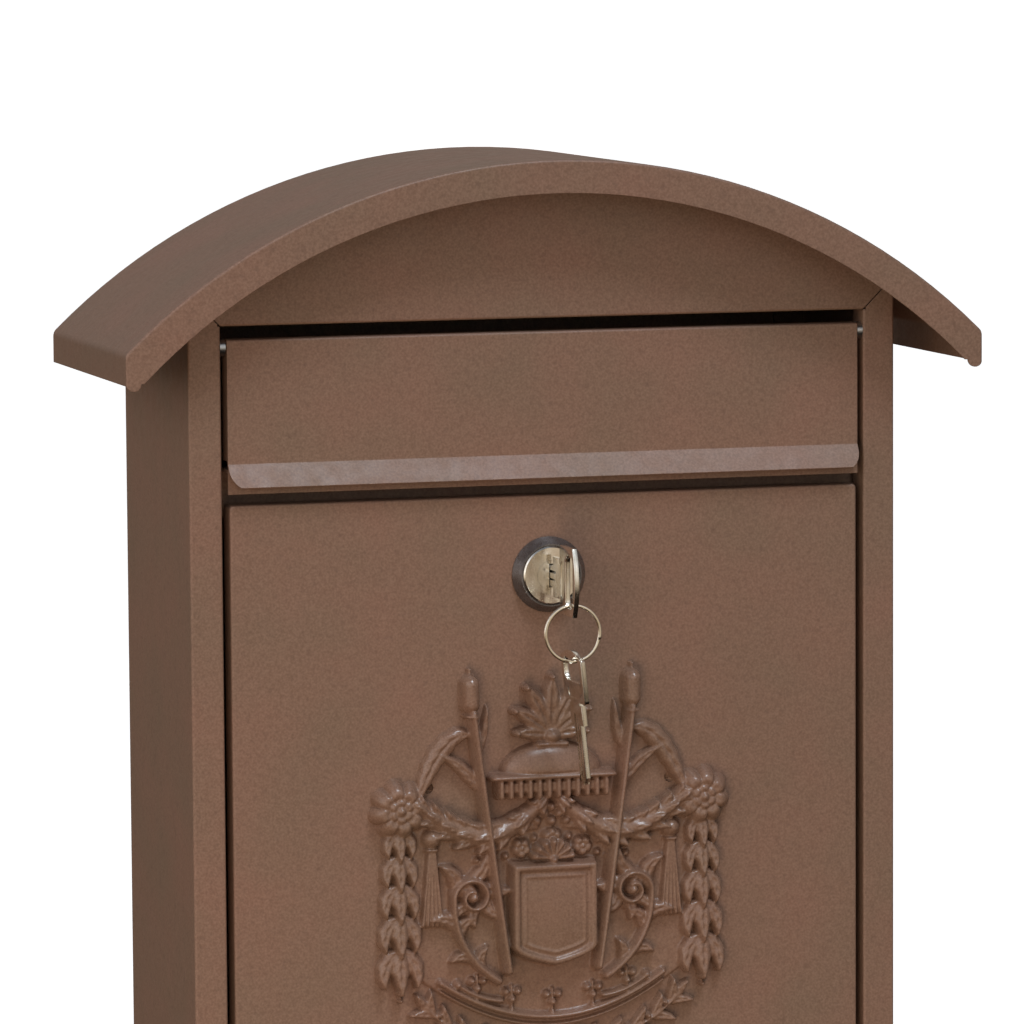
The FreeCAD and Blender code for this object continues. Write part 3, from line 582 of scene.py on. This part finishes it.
def flower_band(relief, z):
    """Flowers and berries that fill the space between the swags and the shield."""
    relief.rosette((0, z - 12.5), 4.6, 5.2, 6, 0.5)
    relief.rosette((12.6, z - 16.0), 4.4, 5.0, 5, 0.3)
    relief.rosette((25.6, z - 16.6), 4.0, 4.6, 5, 0.9)
    berries(relief, ((0, z), (-6, z - 5.4), (0, z - 5.6), (6, z - 5.4), (-3, z - 2.6), (3, z - 2.6)),
            2.1, 4.8)
    berries(relief, ((7.2, z - 12.2), (19.2, z - 14.0), (19.0, z - 19.0), (30.8, z - 20.0)), 1.5, 3.8)
    for start, end, half in (((5, z - 8), (13.5, z - 8.6), 1.9), ((17, z - 11.5), (25.5, z - 10), 1.8),
                             ((8, z - 16.5), (4.6, z - 20.6), 1.5), ((22, z - 20.5), (29.0, z - 24.5), 1.7)):
        middle = ((start[0] + end[0]) / 2, (start[1] + end[1]) / 2 + 1.6)
        relief.leaf(bent(start, middle, end), half, 2.6, 4.2, 3, 0.5)


def acanthus(relief, root, eye):
    """Leafy scroll that climbs from its root and curls round its eye."""
    climb = bent(root, (root[0] + 19.0, root[1] + 12.0), (eye[0] + SCROLL_RADIUS, eye[1]), 30)
    curl = spiral(eye, SCROLL_RADIUS, 2.2, 0, 470, 70)
    stem = np.vstack([climb, curl[1:]])
    leaves = ((0.06, 58, 10.0, 2.8), (0.10, -52, 10.0, 2.8), (0.18, 60, 11.0, 3.2), (0.21, -56, 11.5, 3.4),
              (0.30, 62, 10.0, 3.0), (0.33, -60, 12.0, 3.4), (0.43, -60, 12.0, 3.4), (0.50, -40, 12.5, 3.4),
              (0.58, -54, 10.5, 3.2), (0.66, -60, 8.5, 2.8), (0.74, -64, 7.5, 2.6))
    for place, turn, length, half in leaves:
        index = int(place * (len(stem) - 2))
        here = stem[index]
        heading = heading_at(stem, index)
        end = here + length * swung(heading, turn)
        relief.leaf(bent(here - 1.5 * heading, here + 0.6 * length * heading, end),
                    half, 3.4, 6.4, 4, 0.8, 1.0)
    relief.band(stem, lambda t: 2.0 - 0.9 * t, lambda t: 6.2 + 1.2 * t, 2.2)
    relief.bead(eye, 2.7, 8.0)


def trefoil(relief, centre):
    """Three berries on a short stalk."""
    x, z = centre
    relief.band(np.array([(x, z + 3.4), (x, z - 4.6)]), 0.7, 3.2)
    berries(relief, ((x - 2.4, z + 1.2), (x + 2.4, z + 1.2), (x, z - 1.8)), 1.75, 4.9)
    relief.bead((x, z - 5.6), 1.1, 3.8)


def lower_frame(relief, base, half_width):
    """Moulded bow under the shield, with berries on it."""
    line = bent((-half_width, base + 17), (0, base - 14), (half_width, base + 17), 48)
    relief.band(line, 1.5, 4.8)
    relief.band(line + np.array([0, -3.4]), 0.9, 3.2)
    for x, lift in ((0, 9.0), (16.8, 11.0), (31.0, 16.0)):
        trefoil(relief, (x, base + lift))
    relief.band(bent((21.0, base + 8.8), (30.0, base + 9.5), (38.5, base + 15.5)), 1.1, 4.6)
    relief.bead((39.0, base + 16.0), 1.9, 5.2)


def laurel_spray(relief, root, tip, count):
    """Branch of laurel, with leaves in pairs."""
    line = bent(root, (tip[0] * 0.72, root[1] - 1.0), tip, 40)
    relief.band(line, lambda t: 1.2 - 0.5 * t, 4.2)
    for i in range(count):
        index = int((i + 0.5) / count * 36)
        here = line[index]
        heading = heading_at(line, index)
        for side in (-1, 1):
            end = here + 11.5 * swung(heading, side * 36)
            relief.leaf(bent(here, here + 4.5 * heading, end), 2.3, 3.0, 5.6, 4, 0.7)
        relief.bead(here + 1.5 * np.array([-heading[1], heading[0]]), 1.2, 5.4)
    relief.leaf(bent(line[-6], line[-2], tip + 1.6 * (line[-1] - line[-3])), 2.2, 3.2, 5.4, 4, 0.7)


def bow_knot(relief, centre, tail_end):
    """Ribbon bow with two tails under it."""
    x, z = centre
    for side_x, side_z in ((13.0, 5.6), (12.0, -5.0)):
        loop = bent((x, z), (x + side_x, z + 1.6 * side_z), (x + side_x + 2.0, z + 0.2 * side_z), 24)
        relief.band(loop, lambda t: 1.6 + 0.8 * np.sin(np.pi * t), 5.2, 3.0)
    relief.band(bent((x + 1, z - 1), (x + 9, z - 7), (tail_end[0], tail_end[1])), 2.4, 4.6, 3.0,
                lambda across, place: 0.5 * np.cos(2.6 * across))
    relief.bead((x, z), 3.4, 7.2)


def ground(relief, top, base, half_width):
    """Thin plate behind the raised work, which joins it into one casting."""
    swag = np.array([(0, top), (14, top - 10), (31, top - 16), (47, top - 12), (half_width, top - 4)])
    bow = bent((half_width, base + 20), (half_width * 0.5, base - 2), (0, base - 2), 16)
    right = np.vstack([swag, [(half_width, base + 24)], bow])
    relief.plate(np.vstack([right, right[-2:0:-1] * np.array([-1, 1])]), 0.9, 0.8)


def ornament_heights(half_width, depth):
    """The whole relief, worked out for its right half."""
    relief = Relief(half_width, depth)
    rosette = (half_width - ROSETTE_INSET, ROSETTE_Z)
    ground(relief, SWAG_Z - 3, BASE_Z, half_width - 18)
    laurel_spray(relief, (4.0, -150.5), np.array([54.0, -131.0]), count=5)
    bow_knot(relief, (0, KNOT_Z), (17.0, 3.4 - depth))
    lower_frame(relief, BASE_Z, BASE_HALF)
    flower_band(relief, SWAG_Z - 5.6)
    acanthus(relief, SCROLL_ROOT, SCROLL_EYE)
    tassel(relief, (half_width - TASSEL_INSET, TASSEL_Z), length=34.0)
    husk_drop(relief, (rosette[0], rosette[1] - 8.0), count=5, length=15.6, width=14.5)
    plain_shield(relief, SHIELD_HALF, SHIELD_Z)
    shell(relief, (0, SHIELD_Z + 0.2))
    garland(relief, (1.2, SWAG_Z), (rosette[0] - 4, rosette[1] + 4), SWAG_SAG, count=8)
    bulrush(relief, REED_HEAD, REED_FOOT)
    relief.rosette(rosette, ROSETTE_RADIUS, top=8.2, petals=8, turn=0.2, hollow=0.5)
    relief.rosette(rosette, 6.6, top=8.4, petals=6, turn=0.5)
    covered_bowl(relief, BOWL_Z)
    palmette(relief, (0, PALMETTE_Z))
    return relief.softened(RELIEF_BLUR)


# ---- relief mesh ----
def relief_mesh(name, across, up, heights):
    """Closed mesh of the relief. Cells that lie wholly on the floor are left out."""
    raised = heights > RELIEF_FLOOR + 0.04
    cell = raised[:-1, :-1] | raised[1:, :-1] | raised[:-1, 1:] | raised[1:, 1:]
    rows, columns = np.nonzero(cell)
    width = len(across)
    corners = np.stack([rows * width + columns, rows * width + columns + 1,
                        (rows + 1) * width + columns + 1, (rows + 1) * width + columns], 1)
    used, faces = np.unique(corners, return_inverse=True)
    faces = faces.reshape(corners.shape)
    x = across[used % width]
    z = crest_high.z + up[used // width]
    y = door_front - heights.ravel()[used]
    points = np.stack([x, y, z], 1) * MM
    mesh = bpy.data.meshes.new(name)
    mesh.from_pydata(points.tolist(), [], faces.tolist())
    body = bmesh.new()
    body.from_mesh(mesh)
    rim = [edge for edge in body.edges if edge.is_boundary]
    for vertex in {vertex for edge in rim for vertex in edge.verts}:
        vertex.co.y = (door_front - RELIEF_FLOOR) * MM
    bmesh.ops.triangle_fill(body, edges=rim, use_beauty=False, use_dissolve=False)
    bmesh.ops.recalc_face_normals(body, faces=body.faces)
    body.to_mesh(mesh)
    body.free()
    return mesh


def ornament():
    """The cast ornament on the door."""
    half_width = (crest_high.x - crest_low.x) / 2
    mesh = relief_mesh("ornament", *ornament_heights(half_width, crest_high.z - crest_low.z))
    mesh_object("ornament", mesh, crest_paint, "door", "crest_casting")


# ---- lock and keys ----
def rounded_box(low, high, radius, steps=8):
    """Outline of a rectangle with round corners, anticlockwise."""
    corners = ((high[0] - radius, high[1] - radius, 0), (low[0] + radius, high[1] - radius, 90),
               (low[0] + radius, low[1] + radius, 180), (high[0] - radius, low[1] + radius, 270))
    return np.vstack([arc((x, z), radius, start, start + 90, steps) for x, z, start in corners])


def stamped(name, outlines, thickness, edge):
    """Flat plate with holes and rounded edges, in millimetres, from closed outlines."""
    curve = bpy.data.curves.new(name, "CURVE")
    curve.dimensions = "2D"
    curve.fill_mode = "BOTH"
    curve.extrude = thickness / 2 - edge
    curve.bevel_depth = edge
    curve.offset = -edge
    curve.bevel_resolution = 2
    for outline in outlines:
        spline = curve.splines.new("POLY")
        spline.points.add(len(outline) - 1)
        for point, (x, z) in zip(spline.points, outline):
            point.co = (x, z, 0, 1)
        spline.use_cyclic_u = True
    drawn = bpy.data.objects.new(name, curve)
    bpy.context.scene.collection.objects.link(drawn)
    mesh = bpy.data.meshes.new_from_object(drawn.evaluated_get(bpy.context.evaluated_depsgraph_get()))
    bpy.data.objects.remove(drawn)
    solid = bpy.data.objects.new(name, mesh)
    bpy.context.scene.collection.objects.link(solid)
    return solid


def welded(mesh):
    """Joins the doubled points that a curve leaves along its edges."""
    body = bmesh.new()
    body.from_mesh(mesh)
    bmesh.ops.remove_doubles(body, verts=body.verts, dist=0.001)
    bmesh.ops.recalc_face_normals(body, faces=body.faces)
    body.to_mesh(mesh)
    body.free()


def cut_away(solid, cutters):
    """Takes the cutters out of a solid and removes them."""
    for cutter in cutters:
        welded(cutter.data)
        boolean = solid.modifiers.new("cut", "BOOLEAN")
        boolean.operation = "DIFFERENCE"
        boolean.solver = "EXACT"
        boolean.object = cutter
    bpy.context.view_layer.update()
    result = bpy.data.meshes.new_from_object(solid.evaluated_get(bpy.context.evaluated_depsgraph_get()))
    for thing in [solid] + cutters:
        bpy.data.objects.remove(thing)
    return result


KEY_THICKNESS = 2.0
KEY_EDGE = 0.22                # rounding of the key's edges
BLADE_LENGTH = 24.0
BLADE_HALF = 4.3
BLADE_TIP = 2.87
CUT_DEPTHS = (1.0, 1.8, 1.3, 2.0, 1.2)
FIRST_CUT = 5.0
CUT_PITCH = 3.4
CUT_MOUTH = 0.8                # half width of a cut at the blade's edge
CUT_ROOT = 0.3
SHOULDER_LENGTH = 8.0
SHOULDER_HALF = 8.0
NECK_LENGTH = 1.0
NECK_HALF = 5.5
BOW_LENGTH = 20.5
BOW_HALF = 13.5
BOW_CORNER = 1.5
BOW_CROWN = 3.5
END_RIM = 3.4
SIDE_RIM = 3.2
HOLE_LENGTH = 9.0
HOLE_CORNER = 3.0
BOW_START = -(SHOULDER_LENGTH + NECK_LENGTH)
BOW_END = BOW_START - BOW_LENGTH
PANEL_HALF = NECK_HALF * 1.6 - 1.4
PANEL_NEAR = BOW_START - 1.4
PANEL_LENGTH = 4.0
PANEL_CORNER = 1.6
PANEL_DEPTH = 0.25
# Where each groove starts, its place across the blade and its depth, which is also its half width.
GROOVES = ((-SHOULDER_LENGTH / 2, -1.9, 0.55), (-SHOULDER_LENGTH / 3, 1.2, 0.4))
GROOVE_CORNER = 0.35
RING_CLEARANCE = 0.55          # between the ring's wire and the spare key
SPARE_LEAN = 6.0               # degrees that the spare key leans to the right


def key_outline():
    """Outline of the key: x runs from the shoulder at 0 to the tip, and the bow lies behind it."""
    tip_side = BLADE_LENGTH - BLADE_TIP
    points = [(0, -BLADE_HALF), (tip_side, -BLADE_HALF), (BLADE_LENGTH, BLADE_TIP - BLADE_HALF),
              (BLADE_LENGTH, BLADE_HALF - BLADE_TIP), (tip_side, BLADE_HALF)]
    for i in reversed(range(len(CUT_DEPTHS))):
        x = FIRST_CUT + CUT_PITCH * i
        root = BLADE_HALF - CUT_DEPTHS[i]
        points += [(x + CUT_MOUTH, BLADE_HALF), (x + CUT_ROOT, root), (x - CUT_ROOT, root),
                   (x - CUT_MOUTH, BLADE_HALF)]
    points += [(0, BLADE_HALF), (0, SHOULDER_HALF), (-SHOULDER_LENGTH, SHOULDER_HALF),
               (-SHOULDER_LENGTH, NECK_HALF), (BOW_START, NECK_HALF)]
    radius = (BOW_HALF ** 2 + BOW_CROWN ** 2) / (2 * BOW_CROWN)
    sweep = math.degrees(math.asin(BOW_HALF / radius))
    end = arc((BOW_END + radius, 0), radius, 180 - sweep, 180 + sweep, 17)
    upper = arc((BOW_START - BOW_CORNER, BOW_HALF - BOW_CORNER), BOW_CORNER, 0, 90, 5)
    lower = upper[::-1] * np.array([1, -1])
    bow = np.vstack([upper, end, lower])
    points += [(BOW_START, -NECK_HALF), (-SHOULDER_LENGTH, -NECK_HALF),
               (-SHOULDER_LENGTH, -SHOULDER_HALF), (0, -SHOULDER_HALF)]
    turn = len(points) - 4
    return np.vstack([points[:turn], bow, points[turn:]])


def flat_key(name):
    """Key blank with a cut edge, a milled groove on both faces and a sunk panel on its bow."""
    hole_end = BOW_END + END_RIM
    hole_half = BOW_HALF - SIDE_RIM
    hole = rounded_box((hole_end, -hole_half), (hole_end + HOLE_LENGTH, hole_half), HOLE_CORNER)
    blank = stamped(name, [key_outline(), hole], KEY_THICKNESS, KEY_EDGE)
    welded(blank.data)
    half = KEY_THICKNESS / 2
    cutters = []
    for side in (-1, 1):
        for start, across, depth in GROOVES:
            middle = across * side
            groove = rounded_box((start, middle - depth), (BLADE_LENGTH + 1, middle + depth),
                                 GROOVE_CORNER, 4)
            cutter = stamped("cutter", [groove], 2 * depth, edge=0.1)
            cutter.data.transform(Matrix.Translation((0, 0, side * half)))
            cutters.append(cutter)
        panel = rounded_box((PANEL_NEAR - PANEL_LENGTH, -PANEL_HALF), (PANEL_NEAR, PANEL_HALF), PANEL_CORNER)
        cutter = stamped("cutter", [panel], 2 * PANEL_DEPTH, edge=0.12)
        cutter.data.transform(Matrix.Translation((0, 0, side * half)))
        cutters.append(cutter)
    return cut_away(blank, cutters)


def place_key(name, mesh, placement, body, node):
    """Turns a key from its own frame, in millimetres, to its place on the mailbox."""
    mesh.transform(Matrix.Scale(MM, 4) @ placement)
    piece = mesh_object(name, mesh, key_nickel, body, node)
    shade_by_angle(piece, 35)


def shade_by_angle(piece, degrees):
    """Smooth shading that keeps edges sharper than an angle."""
    sharp = math.radians(degrees)
    body = bmesh.new()
    body.from_mesh(piece.data)
    for edge in body.edges:
        edge.smooth = len(edge.link_faces) == 2 and edge.calc_face_angle(0) < sharp
    body.to_mesh(piece.data)
    body.free()


def keys():
    """Key in the lock, and the spare that hangs from the ring."""
    # Columns say where the key's length, width and thickness go on the mailbox.
    upright = Matrix(((0, 0, 1, 0), (1, 0, 0, 0), (0, 1, 0, 0), (0, 0, 0, 1)))
    middle = (key_low + key_high) / 2
    in_lock = Matrix.Translation((middle.x, key_high.y - BLADE_LENGTH, middle.z)) @ upright
    place_key("lock_key_piece", flat_key("lock_key_piece"), in_lock, "key", "lock_key")
    wire = (ring_high.y - ring_low.y) / 2
    hang = BOW_END + END_RIM + wire + RING_CLEARANCE
    lean = Matrix.Rotation(math.radians(-SPARE_LEAN), 4, "Y") @ Matrix.Rotation(math.radians(-90), 4, "X")
    on_ring = (Matrix.Translation(((ring_low.x + ring_high.x) / 2, (ring_low.y + ring_high.y) / 2,
                                   ring_low.z + wire)) @ lean @ Matrix.Translation((0, -hang, 0)) @ upright)
    place_key("spare_key_piece", flat_key("spare_key_piece"), on_ring, "spare", "spare_key")


CROSSING = -42                 # degrees, where the ring's turns cross over
CROSSING_HALF = 26             # half of the degrees that the crossing takes
RING_GAP = 1.5                 # degrees from an end of the wire to the crossing
RING_STEP = 3.0
RING_END_SHRINK = 0.55


def split_ring():
    """Two turns of flat spring wire that cross over at the lower right."""
    wire = (ring_high.y - ring_low.y) / 2
    centre = (ring_low + ring_high) / 2
    radius = (ring_high.x - ring_low.x) / 2 - wire
    radial, axial = 0.82 * wire, 0.47 * wire
    section = rounded_box((-radial, -axial), (radial, axial), 0.8 * axial, 4)
    first = CROSSING + CROSSING_HALF + RING_GAP
    last = CROSSING + 720 - CROSSING_HALF - RING_GAP
    angles = np.arange(first, last, RING_STEP)
    points, faces = [], []
    for i, degrees in enumerate(angles):
        past = np.clip((degrees - (CROSSING + 360 - CROSSING_HALF)) / (2 * CROSSING_HALF), 0, 1)
        shift = (past * past * (3 - 2 * past) - 0.5) * wire
        shrink = RING_END_SHRINK if i in (0, len(angles) - 1) else 1.0
        angle = math.radians(degrees)
        for out, deep in section * shrink:
            reach = radius + out
            points.append((centre.x + reach * math.cos(angle), centre.y + deep + shift,
                           centre.z + reach * math.sin(angle)))
    size = len(section)
    for i in range(len(angles) - 1):
        for j in range(size):
            a, b = i * size + j, i * size + (j + 1) % size
            faces.append((a, b, b + size, a + size))
    faces.append(tuple(range(size))[::-1])
    faces.append(tuple(range((len(angles) - 1) * size, len(angles) * size)))
    mesh = bpy.data.meshes.new("split_ring")
    mesh.from_pydata((np.array(points) * MM).tolist(), [], faces)
    mesh.update()
    piece = mesh_object("split_ring", mesh, ring_nickel, "ring", "key_ring")
    shade_by_angle(piece, 40)


# ---- stage, light and camera ----
FLOOR_DROP = 0.45              # metres below the mailbox
STAGE_RADIUS = 20.0            # metres
STAGE_GLOW = 0.75
SKY_STRENGTH = 0.90
CLOUD_SIZE_MM = 420
CAMERA_YAW = 16.37             # degrees to the left of straight on
CAMERA_PITCH = 5.83            # degrees that it looks down
CAMERA_ROLL = -0.371
CAMERA_AIM = (3.3, -48.6, 94.2)  # millimetres
CAMERA_DISTANCE = 2.462        # metres
CAMERA_LENS = 214.0


def stage():
    """Pale floor below the mailbox and a pale wall far around it, which don't light it."""
    floor_z = cad_box[0][2] - FLOOR_DROP
    material, _, shader = new_material("floor")
    shader.inputs["Base Color"].default_value = (0.9, 0.9, 0.9, 1)
    shader.inputs["Roughness"].default_value = 0.9
    shader.inputs["Emission Color"].default_value = (1, 1, 1, 1)
    shader.inputs["Emission Strength"].default_value = STAGE_GLOW
    bpy.ops.mesh.primitive_circle_add(vertices=96, radius=STAGE_RADIUS, fill_type="NGON",
                                      location=(0, 0, floor_z))
    floor = bpy.context.object
    bpy.ops.mesh.primitive_cylinder_add(vertices=96, radius=STAGE_RADIUS, depth=2 * STAGE_RADIUS,
                                        end_fill_type="NOTHING", location=(0, 0, floor_z))
    wall = bpy.context.object
    wall.visible_shadow = False
    for piece, name in ((floor, "floor"), (wall, "backdrop")):
        piece.name = name
        piece.data.materials.append(material)
        piece.visible_diffuse = False
        piece.visible_glossy = False


def ramp(tree, value, stops):
    """Colour ramp over a value from -1 to 1; each stop is a place and a colour."""
    node = tree.nodes.new("ShaderNodeValToRGB")
    link(tree, spread(tree, value, 0, 1, -1, 1), node.inputs["Fac"])
    points = node.color_ramp.elements
    while len(points) < len(stops):
        points.new(0.5)
    for point, (place, colour) in zip(points, stops):
        point.position = (place + 1) / 2
        point.color = (*colour, 1)
    return node.outputs["Color"]


def sky():
    """Soft cloudy surroundings: brightest to the left, cool above, dim behind and dark below."""
    world = bpy.data.worlds.new("studio")
    bpy.context.scene.world = world
    world.use_nodes = True
    tree = world.node_tree
    background = tree.nodes["Background"]
    place = tree.nodes.new("ShaderNodeTexCoord").outputs["Generated"]
    split = tree.nodes.new("ShaderNodeSeparateXYZ")
    link(tree, place, split.inputs["Vector"])
    upward = ramp(tree, split.outputs["Z"], (
        (-1.0, (0.006, 0.004, 0.003)), (-0.32, (0.03, 0.02, 0.015)), (-0.18, (0.42, 0.34, 0.25)),
        (-0.05, (0.60, 0.53, 0.44)), (0.06, (0.78, 0.75, 0.70)), (0.3, (0.88, 0.88, 0.88)),
        (0.6, (0.74, 0.77, 0.82)), (0.85, (0.38, 0.42, 0.48)), (1.0, (0.22, 0.26, 0.31))))
    inward = ramp(tree, split.outputs["Y"], (
        (-1.0, (0.95, 0.95, 0.95)), (-0.5, (0.72, 0.72, 0.72)), (-0.1, (0.66, 0.66, 0.66)),
        (0.3, (0.46, 0.45, 0.44)), (1.0, (0.27, 0.25, 0.23))))
    sideways = ramp(tree, split.outputs["X"], (
        (-1.0, (2.7, 2.7, 2.7)), (-0.5, (1.30, 1.30, 1.30)), (0.0, (0.80, 0.79, 0.78)),
        (0.27, (1.35, 1.30, 1.24)), (0.6, (0.50, 0.49, 0.48)), (1.0, (0.38, 0.37, 0.36))))
    clouds = spread(tree, noise(tree, place, CLOUD_SIZE_MM, 3), 0.62, 1.30)
    shade = mixed(tree, 1.0, mixed(tree, 1.0, upward, inward, "MULTIPLY"), sideways, "MULTIPLY")
    link(tree, mixed(tree, 1.0, shade, clouds, "MULTIPLY"), background.inputs["Color"])
    background.inputs["Strength"].default_value = SKY_STRENGTH


def area_light(name, place, target, size, power, colour, glossy=True):
    """Square soft light aimed at a point; reflections show it only if glossy."""
    lamp = bpy.data.lights.new(name, "AREA")
    lamp.size = size
    lamp.energy = power
    lamp.color = colour
    light = bpy.data.objects.new(name, lamp)
    bpy.context.scene.collection.objects.link(light)
    light.location = place
    aim = Vector(target) - Vector(place)
    light.rotation_euler = aim.to_track_quat("-Z", "Y").to_euler()
    light.visible_glossy = glossy


def lights():
    """Cool light from above, a warm one low in front, and one behind for the rear and right side."""
    area_light("top", (0.4, -1.8, 3.3), (0, -0.1, 0.0), 1.0, 68, (0.80, 0.90, 1.0))
    area_light("fill", (-0.4, -0.95, -0.40), (0, -0.1, -0.08), 0.5, 4, (1.0, 0.84, 0.66), glossy=False)
    area_light("rear", (1.5, 1.9, 0.0), (0, -0.05, 0.0), 1.4, 34, (1.0, 0.97, 0.93), glossy=False)


def camera():
    """Long lens from the left and a little above, rolled slightly."""
    yaw, pitch, roll = (math.radians(angle) for angle in (CAMERA_YAW, CAMERA_PITCH, CAMERA_ROLL))
    ahead = Vector((math.sin(yaw) * math.cos(pitch), math.cos(yaw) * math.cos(pitch), -math.sin(pitch)))
    level = Vector((math.cos(yaw), -math.sin(yaw), 0))
    upward = level.cross(ahead)
    right = math.cos(roll) * level + math.sin(roll) * upward
    top = -math.sin(roll) * level + math.cos(roll) * upward
    aim = Vector(CAMERA_AIM) * MM
    lens = bpy.data.cameras.new("camera")
    lens.lens = CAMERA_LENS
    lens.sensor_width = 36.0
    eye = bpy.data.objects.new("camera", lens)
    bpy.context.scene.collection.objects.link(eye)
    turn = Matrix((right, top, -ahead)).transposed().to_4x4()
    eye.matrix_world = Matrix.Translation(aim - CAMERA_DISTANCE * ahead) @ turn
    bpy.context.scene.camera = eye


paint_cad_nodes()
ornament()
keys()
split_ring()
stage()
sky()
lights()
camera()
bpy.context.scene.view_settings.view_transform = "Standard"
